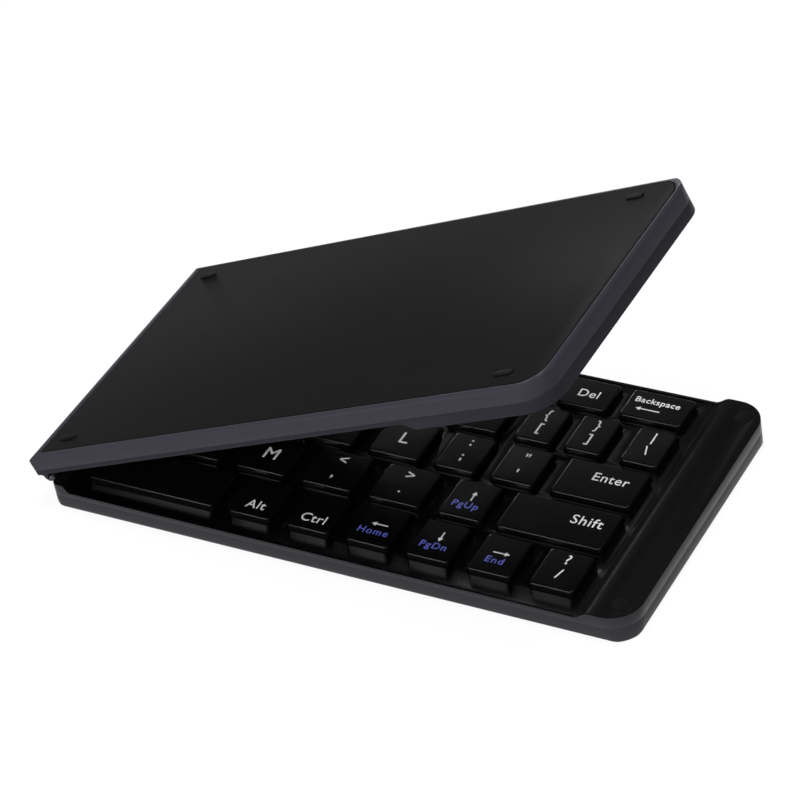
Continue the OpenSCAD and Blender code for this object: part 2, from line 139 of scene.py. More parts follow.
def linear(hex_code: str) -> tuple[float, float, float, float]:
    """Turns an sRGB colour into linear light with the standard sRGB curve.

    Args:
        hex_code: Colour such as #1a1b1c.

    Returns:
        Red, green, blue and an alpha of 1.
    """
    values = [int(hex_code[i : i + 2], 16) / 255 for i in (1, 3, 5)]
    lin = [v / 12.92 if v <= 0.04045 else ((v + 0.055) / 1.055) ** 2.4 for v in values]
    return (lin[0], lin[1], lin[2], 1.0)


Socket = str | int
# The Mix node's colour sockets have the same names as its others, so they go by number
MIX_A, MIX_B, MIX_RESULT = 6, 7, 2
VECTOR_MATH = "ShaderNodeVectorMath"


def add_node(
    tree: bpy.types.NodeTree,
    kind: str,
    settings: dict[str, object] | None = None,
    inputs: dict[Socket, object] | None = None,
) -> bpy.types.Node:
    """Adds a node with its settings, values and links.

    Args:
        tree: Node tree that the node goes into.
        kind: Node type, such as ShaderNodeTexNoise.
        settings: Attributes of the node itself.
        inputs: Input name or number to a value, or to an output socket to link from.

    Returns:
        The new node.
    """
    node = tree.nodes.new(kind)
    for name, value in (settings or {}).items():
        setattr(node, name, value)
    for name, value in (inputs or {}).items():
        socket = node.inputs[name]
        if isinstance(value, bpy.types.NodeSocket):
            tree.links.new(value, socket)
        else:
            socket.default_value = value
    return node


@dataclass(frozen=True)
class Grain:
    """Surface texture: a fine grain in the bump, and a broad mottle in colour and gloss.

    The sizes and the depth are in millimetres, and mottle is a share of the colour.
    """

    size: float = 0.2
    bump: float = 0.15
    depth: float = 0.02
    mottle: float = 0.06
    mottle_size: float = 9.0
    detail: float = 1.5
    mottle_detail: float = 3.0


@dataclass(frozen=True)
class Finish:
    """A surface finish, made into one shader material; spread is how far roughness varies."""

    name: str
    colour: str
    roughness: float
    metallic: float = 0.0
    ior: float = 1.5
    coat: float = 0.0
    coat_roughness: float = 0.1
    specular: float = 0.5
    spread: float = 0.05
    grain: Grain = field(default_factory=Grain)

    def material(self) -> bpy.types.Material:
        """Makes this finish's material the first time, and finds it again after that.

        Returns:
            The material.
        """
        found = bpy.data.materials.get(self.name)
        if found is not None:
            return found
        material = bpy.data.materials.new(self.name)
        material.use_nodes = True
        tree = material.node_tree
        shader = tree.nodes["Principled BSDF"]
        place = add_node(tree, "ShaderNodeTexCoord").outputs["Object"]
        mottle = add_node(
            tree,
            "ShaderNodeTexNoise",
            inputs={
                "Vector": place,
                "Scale": 1 / (self.grain.mottle_size * MM),
                "Detail": self.grain.mottle_detail,
            },
        )
        fine = add_node(
            tree,
            "ShaderNodeTexNoise",
            inputs={
                "Vector": place,
                "Scale": 1 / (self.grain.size * MM),
                "Detail": self.grain.detail,
            },
        )
        rough = add_node(
            tree,
            "ShaderNodeMapRange",
            inputs={
                "Value": mottle.outputs["Fac"],
                "To Min": self.roughness - self.spread,
                "To Max": self.roughness + self.spread,
            },
        )
        base = linear(self.colour)
        low = tuple(c * (1 - self.grain.mottle) for c in base[:3]) + (1.0,)
        high = tuple(c * (1 + self.grain.mottle) for c in base[:3]) + (1.0,)
        tint = add_node(
            tree,
            "ShaderNodeMix",
            settings={"data_type": "RGBA"},
            inputs={"Factor": mottle.outputs["Fac"], MIX_A: low, MIX_B: high},
        )
        bump = add_node(
            tree,
            "ShaderNodeBump",
            inputs={
                "Strength": self.grain.bump,
                "Distance": self.grain.depth * MM,
                "Height": fine.outputs["Fac"],
            },
        )
        values = {
            "Metallic": self.metallic,
            "IOR": self.ior,
            "Coat Weight": self.coat,
            "Coat Roughness": self.coat_roughness,
            "Specular IOR Level": self.specular,
        }
        for name, value in values.items():
            shader.inputs[name].default_value = value
        tree.links.new(rough.outputs["Result"], shader.inputs["Roughness"])
        tree.links.new(tint.outputs[MIX_RESULT], shader.inputs["Base Color"])
        tree.links.new(bump.outputs["Normal"], shader.inputs["Normal"])
        return material


# The three values of a Grain are its size, bump and depth. The real grain of most of these is
# too fine to show in the render, so it is drawn coarser.

# Satin soft-touch paint on the outer plates: nearly black, with no clear reflections
PLATE_PAINT = Finish(
    "satin_black_plate_paint", "#181718", 0.32, specular=0.003, grain=Grain(0.12, 0.10, 0.01)
)
# Dark lacquer on the lid's side band: an even bluish grey, a little lighter than the plate
BAND_LACQUER = Finish(
    "dark_bluish_band_lacquer", "#2f2d34", 0.34, specular=0.03, grain=Grain(0.08, 0.08, 0.01)
)
# Dark grey lacquer on the lower half's wall: flat grey, lighter where its edge turns
WALL_LACQUER = Finish(
    "dark_grey_wall_lacquer", "#27272b", 0.3, specular=0.12, grain=Grain(0.08, 0.08, 0.01)
)
# Gloss black moulded plastic of the deck: mirrors the key sides and the lid
DECK_GLOSS = Finish(
    "gloss_black_deck_plastic", "#050506", 0.16, spread=0.02, grain=Grain(0.4, 0.02, 0.01)
)
# Satin black plastic of the border bar, duller than the deck beside it
BORDER_SATIN = Finish(
    "satin_black_border_plastic", "#0d0d0e", 0.42, specular=0.02, grain=Grain(0.15, 0.12, 0.01)
)
# Dark satin plastic of the lid's key frame, seen along its edge under the band
FRAME_EDGE = Finish(
    "dark_frame_edge_plastic", "#222127", 0.4, specular=0.03, grain=Grain(0.1, 0.1, 0.01)
)
# Key cap plastic: black and satin, with a thin bright line on the front edges
CAP_PLASTIC = Finish(
    "satin_black_key_plastic", "#080809", 0.24, specular=0.2, grain=Grain(0.12, 0.16, 0.006)
)
# White and blue pad-printed ink of the legends: an even colour with a slight sheen
WHITE_INK = Finish("white_legend_ink", "#fafafa", 0.5, grain=Grain(0.1, 0.05, 0.004))
BLUE_INK = Finish("blue_legend_ink", "#6670da", 0.5, grain=Grain(0.1, 0.05, 0.004))
# Black rubber of the feet and bumper pads: the dullest black on the part
RUBBER = Finish("black_rubber", "#0a0a0a", 0.6, specular=0.04, grain=Grain(0.1, 0.3, 0.02))
# Painted shade of the groove round the outer plate: black on the plate's rim and in the cover's
# recess, standing in for the unlit gap
GROOVE_PAINTED_SHADE = Finish("painted_groove_shade", "#040404", 0.6, specular=0.02)
# Ground steel of the hinge pins and screws: bright with fine turning marks
PIN_STEEL = Finish("turned_steel", "#9a9ca0", 0.3, metallic=1.0, grain=Grain(0.05, 0.2, 0.01))
# Pressed sheet steel under the keys: a dull grey metal
SHEET_STEEL = Finish("pressed_sheet_steel", "#8a8c90", 0.45, metallic=1.0)
# Nickel plate on the magnets: a bright metal, slightly warm
NICKEL = Finish("nickel_plate", "#b5b2ac", 0.22, metallic=1.0)
# Silicone of the key domes: milky, with a broad soft highlight
SILICONE = Finish("milky_silicone", "#c9c6bd", 0.5, ior=1.43)
# Natural acetal of the scissor links: off-white and waxy
ACETAL = Finish("natural_acetal", "#c4c3bb", 0.45)
# Polyester of the switch film: yellowish with a slight sheen
FILM = Finish("polyester_switch_film", "#b3ad94", 0.35)
# Solder mask of the board: dark green under a thin gloss
SOLDER_MASK = Finish("green_solder_mask", "#1c4a2e", 0.35, coat=0.4)
# Foil pouch of the battery: grey metal with a soft sheen
POUCH = Finish("aluminium_pouch_foil", "#7c7f84", 0.35, metallic=0.9)
# Drawn steel shell of the charging socket: light grey and fairly bright
SOCKET_STEEL = Finish("drawn_steel_shell", "#93959a", 0.3, metallic=1.0)
# Polyimide of the ribbon: amber brown under a light gloss
POLYIMIDE = Finish("amber_polyimide", "#8a5420", 0.35, coat=0.3)


# ---------------------------------------------------------------- mesh helpers


def object_from(mesh: bpy.types.Mesh | bpy.types.Curve, name: str) -> bpy.types.Object:
    """Links a new object for a mesh or curve into the scene.

    Args:
        mesh: Data of the object.
        name: Name of the object.

    Returns:
        The new object, at the origin.
    """
    obj = bpy.data.objects.new(name, mesh)
    bpy.context.scene.collection.objects.link(obj)
    return obj


def baked_mesh(obj: bpy.types.Object) -> bpy.types.Mesh:
    """Returns a plain mesh of an object with its modifiers applied."""
    graph = bpy.context.evaluated_depsgraph_get()
    return bpy.data.meshes.new_from_object(obj.evaluated_get(graph), depsgraph=graph)


def smooth_by_angle(mesh: bpy.types.Mesh, degrees: float) -> None:
    """Shades a mesh smooth, with sharp edges above an angle."""
    mesh.shade_smooth()
    mesh.set_sharp_from_angle(angle=math.radians(degrees))


def joined(meshes: Sequence[bpy.types.Mesh], name: str) -> bpy.types.Mesh:
    """Joins meshes into one, keeping each face's material.

    Args:
        meshes: Meshes in the same coordinates; they are removed afterwards.
        name: Name of the new mesh.

    Returns:
        One mesh with all materials.
    """
    result = bpy.data.meshes.new(name)
    materials: list[bpy.types.Material] = []
    bm = bmesh.new()
    for mesh in meshes:
        for material in mesh.materials:
            if material not in materials:
                materials.append(material)
        start = len(bm.faces)
        bm.from_mesh(mesh)
        bm.faces.ensure_lookup_table()
        for face in bm.faces[start:]:
            face.material_index = materials.index(mesh.materials[face.material_index])
    bm.to_mesh(result)
    bm.free()
    for material in materials:
        result.materials.append(material)
    for mesh in meshes:
        bpy.data.meshes.remove(mesh)
    return result


# ---------------------------------------------------------------- refined CAD shells

# CAD corners this near, in metres, are welded, and seams flatter than this are dissolved
WELD_DISTANCE = 1e-6
FLAT_DEG = 0.5


@dataclass(frozen=True)
class EdgeSoftening:
    """Rounding of a moulded part's edges, in millimetres and degrees."""

    width: float = 0.12
    segments: int = 2
    angle_deg: float = 35.0
    smooth_deg: float = 32.0


FacePainter = Callable[[Vector, Vector], Finish]


@dataclass
class MouldedShell:
    """A case part: the CAD node's shape with its edges rounded and its faces painted."""

    node: str
    side: Side
    painter: FacePainter
    slot: str
    edges: EdgeSoftening = field(default_factory=EdgeSoftening)

    def build(self, frame: dict) -> bpy.types.Object:
        """Builds the shell and lets it stand for its CAD node.


        Returns:
            The finished object.
        """
        mesh = frame["nodes"][self.node].data.copy()
        self._clean(mesh)
        obj = object_from(mesh, f"{self.node}_shell")
        bevel = obj.modifiers.new("edges", "BEVEL")
        bevel.width = self.edges.width * MM
        bevel.segments = self.edges.segments
        bevel.limit_method = "ANGLE"
        bevel.angle_limit = math.radians(self.edges.angle_deg)
        bevel.use_clamp_overlap = True
        bevel.miter_outer = "MITER_ARC"
        final = baked_mesh(obj)
        obj.modifiers.clear()
        obj.data = final
        bpy.data.meshes.remove(mesh)
        self._paint(final)
        smooth_by_angle(final, self.edges.smooth_deg)
        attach(obj, self.side.body)
        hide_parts(self.node)
        return obj

    @staticmethod
    def _clean(mesh: bpy.types.Mesh) -> None:
        """Welds the CAD triangles and dissolves flat seams between them.

        Args:
            mesh: Mesh that is changed.
        """
        bm = bmesh.new()
        bm.from_mesh(mesh)
        bmesh.ops.remove_doubles(bm, verts=bm.verts, dist=WELD_DISTANCE)
        bmesh.ops.dissolve_limit(
            bm, angle_limit=math.radians(FLAT_DEG), verts=bm.verts, edges=bm.edges
        )
        for layer in list(bm.loops.layers.uv.values()):
            bm.loops.layers.uv.remove(layer)
        bm.to_mesh(mesh)
        bm.free()

    def _paint(self, mesh: bpy.types.Mesh) -> None:
        """Gives each face the finish that the painter picks for its place and normal.

        Args:
            mesh: Mesh in the row frame, whose material slots are made new.
        """
        mesh.materials.clear()
        back = self.side.matrix().inverted()
        turn = back.to_3x3().normalized()
        names: list[str] = []
        picks: list[int] = []
        for face in mesh.polygons:
            finish = self.painter(back @ face.center, turn @ face.normal)
            if finish.name not in names:
                names.append(finish.name)
                mesh.materials.append(finish.material())
            picks.append(names.index(finish.name))
        mesh.polygons.foreach_set("material_index", picks)


# ---------------------------------------------------------------- key caps

# Depths of the rows' caps from the back to the front, and the front row's near edge
ROW_DEPTH = (9.9, 12.7, 12.7, 12.7, 12.7)
FRONT_ROW = len(ROW_DEPTH) - 1
ROW_PITCH = 16.1
FRONT_ROW_Y = -35.5


@dataclass(frozen=True)
class Cap:
    """One key cap's flat top: distance of its near edge from the hinge line, width and row."""

    side: Side
    row: int
    start: float
    width: float

    @property
    def depth(self) -> float:
        """Front to back size of the top."""
        return ROW_DEPTH[self.row]

    @property
    def low_corner(self) -> tuple[float, float]:
        """Left front corner of the top, in half coordinates."""
        x = self.start if self.side is Side.RIGHT else -self.start - self.width
        return x, FRONT_ROW_Y + (FRONT_ROW - self.row) * ROW_PITCH


def spread(start: float, pitch: float, width: float, count: int) -> list[tuple[float, float]]:
    """Starts and widths of evenly spaced keys of one width."""
    return [(start + i * pitch, width) for i in range(count)]


# Start and width of each key from the hinge outwards; row 0 is the number row at the back
KEY_ROWS: dict[Side, list[list[tuple[float, float]]]] = {
    Side.RIGHT: [
        spread(10.2, 17.0, 13.0, 6) + [(112.1, 13.0), (129.4, 16.4)],
        spread(11.8, 19.15, 13.9, 5) + [(107.6, 9.6), (121.6, 9.6), (137.1, 9.6)],
        spread(16.9, 19.15, 13.7, 4) + [(93.2, 10.9), (109.0, 11.3), (125.7, 20.9)],
        [(7.9, 11.6)] + spread(24.95, 19.25, 13.9, 4) + [(102.5, 11.3), (118.6, 28.1)],
        [(9.7, 36.6)] + spread(51.5, 16.8, 11.3, 6),
    ],
    Side.LEFT: [
        spread(5.9, 16.8, 12.8, 7),
        spread(10.0, 19.15, 13.9, 5) + [(105.7, 13.8)],
        spread(5.9, 19.15, 13.9, 5) + [(101.6, 17.9)],
        spread(15.5, 19.15, 13.9, 4) + [(92.1, 27.4)],
        [(6.2, 46.5)] + spread(57.8, 16.8, 11.3, 4),
    ],
}


@dataclass
class CapTree:
    """Geometry Nodes tree that makes one hollow cap, in millimetres, from its top's sizes."""

    # How far the foot's outline stands out past the flat top on each side
    flare: float = 0.35
    height: float = 2.35
    corner: float = 1.2
    corner_points: int = 6
    wall: float = 0.7
    top_thick: float = 0.9
    # Taller than two caps, so that the corner arcs' centres leave Z as it is
    tall: float = 20.0
    # Points nearer than this are one
    weld: float = 0.001
    # The wall and the rounded top edge: (inset from the foot's outline, drop below the top)
    rings: tuple[tuple[float, float], ...] = (
        (0.03, 0.62),
        (0.07, 0.34),
        (0.14, 0.17),
        (0.24, 0.06),
        (0.36, 0.01),
        (0.5, 0.0),
    )
    tree: bpy.types.NodeTree = field(init=False)

    def __post_init__(self) -> None:
        """Builds the tree once."""
        self.tree = bpy.data.node_groups.new("key_cap", "GeometryNodeTree")
        face = self.tree.interface
        face.new_socket("Geometry", in_out="INPUT", socket_type="NodeSocketGeometry")
        for name in ("Width", "Depth"):
            face.new_socket(name, in_out="INPUT", socket_type="NodeSocketFloat")
        face.new_socket("Plastic", in_out="INPUT", socket_type="NodeSocketMaterial")
        face.new_socket("Geometry", in_out="OUTPUT", socket_type="NodeSocketGeometry")
        self._wire()

    def _add(
        self, kind: str, settings: dict[str, object] | None, inputs: dict[Socket, object]
    ) -> bpy.types.Node:
        """Adds a node to this tree."""
        return add_node(self.tree, kind, settings, inputs)

    def _ring(
        self,
        geometry: bpy.types.NodeSocket,
        chosen: bpy.types.NodeSocket | None,
        limit: bpy.types.NodeSocket,
        rise: float,
        inset: float,
    ) -> tuple[bpy.types.NodeSocket, bpy.types.NodeSocket]:
        """Extrudes the top face and draws it in to an inset, with its corners still round.

        Args:
            geometry: Mesh so far.
            chosen: Which face is the top, or None for all.
            limit: Distances of the corner arcs' centres from the middle.
            rise: How far the face goes up.
            inset: How far in from the foot's outline the new ring lies.

        Returns:
            The new mesh, and which face is now its top.
        """
        values: dict[Socket, object] = {
            "Mesh": geometry,
            "Offset Scale": rise,
            "Individual": False,
        }
        if chosen is not None:
            values["Selection"] = chosen
        extrude = self._add("GeometryNodeExtrudeMesh", {"mode": "FACES"}, values)
        place = self._add("GeometryNodeInputPosition", None, {}).outputs[0]
        low = self._add(VECTOR_MATH, {"operation": "SCALE"}, {0: limit, "Scale": -1.0})
        above = self._add(VECTOR_MATH, {"operation": "MAXIMUM"}, {0: place, 1: low.outputs[0]})
        core = self._add(VECTOR_MATH, {"operation": "MINIMUM"}, {0: above.outputs[0], 1: limit})
        arm = self._add(VECTOR_MATH, {"operation": "SUBTRACT"}, {0: place, 1: core.outputs[0]})
        unit = self._add(VECTOR_MATH, {"operation": "NORMALIZE"}, {0: arm.outputs[0]})
        reach = self._add(
            VECTOR_MATH,
            {"operation": "SCALE"},
            {0: unit.outputs[0], "Scale": self.corner - inset},
        )
        target = self._add(
            VECTOR_MATH, {"operation": "ADD"}, {0: core.outputs[0], 1: reach.outputs[0]}
        )
        moved = self._add(
            "GeometryNodeSetPosition",
            None,
            {
                "Geometry": extrude.outputs["Mesh"],
                "Selection": extrude.outputs["Top"],
                "Position": target.outputs[0],
            },
        )
        return moved.outputs[0], extrude.outputs["Top"]

    def _wire(self) -> None:
        """Wires the tree: foot, outer wall and rounded edge, then the hollow underside."""
        inputs = self.tree.nodes.new("NodeGroupInput").outputs
        size = self._add(
            "ShaderNodeCombineXYZ", None, {"X": inputs["Width"], "Y": inputs["Depth"]}
        ).outputs[0]
        growth = (2 * self.flare, 2 * self.flare, self.tall)
        foot = self._add(VECTOR_MATH, {"operation": "ADD"}, {0: size, 1: growth}).outputs[0]
        sides = self._add("ShaderNodeSeparateXYZ", None, {0: foot}).outputs
        outline = self._add(
            "GeometryNodeCurvePrimitiveQuadrilateral",
            {"mode": "RECTANGLE"},
            {"Width": sides[0], "Height": sides[1]},
        )
        fillet = self._add(
            "GeometryNodeFilletCurve",
            {"mode": "POLY"},
            {"Curve": outline.outputs[0], "Radius": self.corner, "Count": self.corner_points},
        )
        fill = self._add(
            "GeometryNodeFillCurve", {"mode": "NGONS"}, {"Curve": fillet.outputs[0]}
        ).outputs[0]
        half = self._add(VECTOR_MATH, {"operation": "SCALE"}, {0: foot, "Scale": 0.5}).outputs[0]
        arc = (self.corner, self.corner, 0.0)
        limit = self._add(VECTOR_MATH, {"operation": "SUBTRACT"}, {0: half, 1: arc}).outputs[0]

        outer, top, done = fill, None, self.height
        for inset, drop in self.rings:
            outer, top = self._ring(outer, top, limit, done - drop, inset)
            done = drop
        hollow, top = self._ring(fill, None, limit, 0.0, self.wall)
        hollow, top = self._ring(hollow, top, limit, self.height - self.top_thick, self.wall)
        inside = self._add("GeometryNodeFlipFaces", None, {"Mesh": hollow}).outputs[0]

        both = self.tree.nodes.new("GeometryNodeJoinGeometry")
        for branch in (outer, inside):
            self.tree.links.new(branch, both.inputs[0])
        welded = self._add(
            "GeometryNodeMergeByDistance",
            None,
            {"Geometry": both.outputs[0], "Distance": self.weld},
        )
        real = self._add("GeometryNodeRealizeInstances", None, {0: welded.outputs[0]})
        painted = self._add(
            "GeometryNodeSetMaterial",
            None,
            {"Geometry": real.outputs[0], "Material": inputs["Plastic"]},
        )
        self.tree.links.new(painted.outputs[0], self.tree.nodes.new("NodeGroupOutput").inputs[0])

    def mesh(self, width: float, depth: float, plastic: bpy.types.Material) -> bpy.types.Mesh:
        """Makes one cap in millimetres, with the middle of its foot at the origin.

        Args:
            width: Size of the top along X.
            depth: Size of the top along Y.
            plastic: Material of the cap.

        Returns:
            The cap's mesh.
        """
        obj = object_from(bpy.data.meshes.new("cap"), "cap")
        modifier = obj.modifiers.new("cap", "NODES")
        modifier.node_group = self.tree
        values = {"Width": width, "Depth": depth, "Plastic": plastic}
        for item in self.tree.interface.items_tree:
            if item.in_out == "INPUT" and item.name in values:
                modifier[item.identifier] = values[item.name]
        mesh = baked_mesh(obj)
        bpy.data.objects.remove(obj)
        return mesh


# ---------------------------------------------------------------- legends

# Half thickness of the ink, and straight pieces per curve of a letter
INK_THICK = 0.012
CURVE_STEPS = 4
# How far printing spreads a letter's stroke to each side
STROKE_GAIN = 0.03
# Length of an arrow's head, and half widths of head and stem
ARROW_HEAD = 1.3
ARROW_WING = 0.72
ARROW_STEM = 0.17


class Arrow(Enum):
    """Directions of the printed arrows, as turns from pointing right in degrees."""

    RIGHT = 0
    UP = 90
    LEFT = 180
    DOWN = 270


@dataclass(frozen=True)
class Mark:
    """One printed sign on a key top.

    x and y place its middle as parts of the top's width and depth, and size is the em size of
    the lettering, or the length of an arrow.
    """

    sign: str | Arrow
    size: float
    x: float = 0.5
    y: float = 0.55
    ink: Finish = WHITE_INK
    spacing: float = 1.0

    def mesh(self) -> bpy.types.Mesh:
        """Makes the sign as a thin flat solid.

        Returns:
            A mesh in millimetres with its middle at the origin.
        """
        if isinstance(self.sign, Arrow):
            curve = self._arrow_curve()
        else:
            curve = bpy.data.curves.new("sign", "FONT")
            curve.body = self.sign
            curve.size = self.size
            curve.space_character = self.spacing
            curve.offset = STROKE_GAIN
            curve.align_x = "CENTER"
            curve.align_y = "CENTER"
        curve.resolution_u = CURVE_STEPS
        curve.extrude = INK_THICK
        obj = object_from(curve, "sign")
        mesh = baked_mesh(obj)
        bpy.data.objects.remove(obj)
        bpy.data.curves.remove(curve)
        mesh.materials.clear()
        mesh.materials.append(self.ink.material())
        return mesh

    def _arrow_curve(self) -> bpy.types.Curve:
        """Draws an arrow with a plain stem and a filled head.

        Returns:
            A filled flat curve in millimetres.
        """
        curve = bpy.data.curves.new("arrow", "CURVE")
        curve.dimensions = "2D"
        curve.fill_mode = "BOTH"
        half = self.size / 2
        neck = half - ARROW_HEAD
        points = [
            (half, 0.0),
            (neck, ARROW_WING),
            (neck, ARROW_STEM),
            (-half, ARROW_STEM),
            (-half, -ARROW_STEM),
            (neck, -ARROW_STEM),
            (neck, -ARROW_WING),
        ]
        turn = Matrix.Rotation(math.radians(self.sign.value), 2)
        spline = curve.splines.new("POLY")
        spline.points.add(len(points) - 1)
        for point, place in zip(spline.points, points):
            x, y = turn @ Vector(place)
            point.co = (x, y, 0.0, 1.0)
        spline.use_cyclic_u = True
        return curve


Legend = tuple[Mark, ...]


def letter(sign: str) -> Legend:
    """A letter in the middle of its key."""
    return (Mark(sign, size=5.8, x=0.5, y=0.5),)


def pair(upper: str, lower: str, upper_y: float = 0.78, lower_y: float = 0.37) -> Legend:
    """Two signs, one above the other."""
    return (Mark(upper, size=4.6, x=0.49, y=upper_y), Mark(lower, size=4.6, x=0.49, y=lower_y))


def number_pair(upper: str, lower: str) -> Legend:
    """Two signs on a key of the shorter number row."""
    return (Mark(upper, size=3.6, y=0.76), Mark(lower, size=3.9, y=0.3))


def word(text: str, size: float = 4.1, x: float = 0.5, y: float = 0.55) -> Legend:
    """A word."""
    return (Mark(text, size, x=x, y=y, spacing=1.08),)


def cursor(text: str, arrow: Arrow) -> Legend:
    """A white arrow over the blue word of an arrow key.

    Args:
        text: The word.
        arrow: Direction of the arrow.

    Returns:
        The two marks.
    """
    across = arrow in (Arrow.LEFT, Arrow.RIGHT)
    length, y = (4.5, 0.55) if across else (3.5, 0.61)
    name = Mark(text, size=3.1, x=0.47, y=0.33, ink=BLUE_INK, spacing=1.16)
    return (Mark(arrow, size=length, x=0.52, y=y), name)


LEGENDS: dict[Side, list[list[Legend]]] = {
    Side.RIGHT: [
        [number_pair(a, b) for a, b in ("&7", "*8", "(9", ")0", "_-", "+=")]
        + [
            word("Del", 4.0, x=0.5, y=0.47),
            (
                Mark("Backspace", size=2.8, x=0.46, y=0.67, spacing=1.08),
                Mark(Arrow.LEFT, size=6.6, x=0.37, y=0.34),
            ),
        ],
        [letter(sign) for sign in "YUIOP"] + [pair(a, b) for a, b in ("{[", "}]", "|\\")],
        [letter(sign) for sign in "HJKL"]
        + [pair(":", ";", 0.82), pair('"', "'", 0.69, 0.21), word("Enter", 4.2, x=0.6, y=0.62)],
        [letter(sign) for sign in "BNM"]
        + [
            pair("<", ","),
            pair(">", "."),
            cursor("PgUp", Arrow.UP),
            word("Shift", 4.5, x=0.74, y=0.62),
        ],
        [(), word("Alt", 4.1, x=0.52, y=0.29), word("Ctrl", 4.1, x=0.5, y=0.29)]
        + [
            cursor("Home", Arrow.LEFT),
            cursor("PgDn", Arrow.DOWN),
            cursor("End", Arrow.RIGHT),
            pair("?", "/"),
        ],
    ],
    Side.LEFT: [
        [number_pair(a, b) for a, b in ("^6", "%5", "$4", "#3", "@2", "!1")]
        + [word("Esc", 3.9, y=0.5)],
        [letter(sign) for sign in "TREWQ"] + [word("Tab", x=0.4)],
        [letter(sign) for sign in "GFDSA"] + [word("Caps", x=0.32)],
        [letter(sign) for sign in "VCXZ"] + [word("Shift", 4.5, x=0.26)],
        [(), word("Alt", 4.1, y=0.29), word("Opt", 4.1, y=0.29), word("Ctrl", 4.1, y=0.29)]
        + [word("Fn", 4.1, y=0.29)],
    ],
}


# ---------------------------------------------------------------- keys on their bodies

KeyPlace = tuple[int, int]

# Each CAD node's keys as (row, place in the row from the hinge)
RIGHT_KEY_NODES: dict[str, list[KeyPlace]] = {
    "keys_seven_to_equals": [(0, i) for i in range(6)],
    "keys_y_to_o": [(1, i) for i in range(4)],
    "keys_h_j_b": [(2, 0), (2, 1), (3, 0)],
    "key_space": [(4, 0)],
    "key_alt": [(4, 1)],
    "key_ctrl": [(4, 2)],
    "key_home": [(4, 3)],
    "key_page_down": [(4, 4)],
    "key_end": [(4, 5)],
    "key_slash": [(4, 6)],
    "key_n": [(3, 1)],
    "key_m": [(3, 2)],
    "key_comma": [(3, 3)],
    "key_period": [(3, 4)],
    "key_page_up": [(3, 5)],
    "key_shift": [(3, 6)],
    "key_k": [(2, 2)],
    "key_l": [(2, 3)],
    "key_semicolon": [(2, 4)],
    "key_quote": [(2, 5)],
    "key_enter": [(2, 6)],
    "key_p": [(1, 4)],
    "key_bracket_open": [(1, 5)],
    "key_bracket_close": [(1, 6)],
    "key_backslash": [(1, 7)],
    "key_delete": [(0, 6)],
    "key_backspace": [(0, 7)],
}
LEFT_KEY_NODES: dict[str, list[KeyPlace]] = {
    name: [(row, i) for i in range(len(KEY_ROWS[Side.LEFT][row]))]
    for row, name in enumerate(
        (
            "left_number_row_keys",
            "left_tab_row_keys",
            "left_caps_row_keys",
            "left_shift_row_keys",
            "left_space_row_keys",
        )
    )
}


@dataclass
class KeyField:
    """The printed key caps of one half."""

    side: Side
    nodes: dict[str, list[KeyPlace]]
    tree: CapTree
    plastic: Finish = CAP_PLASTIC
    smooth_deg: float = 40.0

    def build(self) -> list[bpy.types.Object]:
        """Makes one object for each CAD node of keys.

        Returns:
            The finished objects.
        """
        return [self._node(name, places) for name, places in self.nodes.items()]

    def _node(self, name: str, places: Iterable[KeyPlace]) -> bpy.types.Object:
        """Makes the caps and legends of one node and puts them on its body.

        Args:
            name: Name of the CAD node that they stand for.
            places: Rows and places of its keys.

        Returns:
            The finished object.
        """
        meshes: list[bpy.types.Mesh] = []
        for row, i in places:
            cap = Cap(self.side, row, *KEY_ROWS[self.side][row][i])
            meshes += self._cap(cap, LEGENDS[self.side][row][i])
        mesh = joined(meshes, f"{name}_printed")
        mesh.transform(self.side.matrix())
        smooth_by_angle(mesh, self.smooth_deg)
        obj = object_from(mesh, f"{name}_printed")
        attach(obj, f"{name}_body")
        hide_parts(name)
        return obj

    def _cap(self, cap: Cap, legend: Legend) -> list[bpy.types.Mesh]:
        """Makes one cap and its signs.

        Args:
            cap: Place and size of the cap.
            legend: Its signs, none for a space bar.

        Returns:
            Their meshes, in half coordinates.
        """
        shell = self.tree.mesh(cap.width, cap.depth, self.plastic.material())
        x, y = cap.low_corner
        middle = Vector((x + cap.width / 2, y + cap.depth / 2, CASE.cap_top - self.tree.height))
        shell.transform(Matrix.Translation(middle))
        meshes = [shell]
        for mark in legend:
            sign = mark.mesh()
            place = Vector((x + mark.x * cap.width, y + mark.y * cap.depth, CASE.cap_top))
            sign.transform(Matrix.Translation(place))
            meshes.append(sign)
        return meshes


# ---------------------------------------------------------------- the two halves


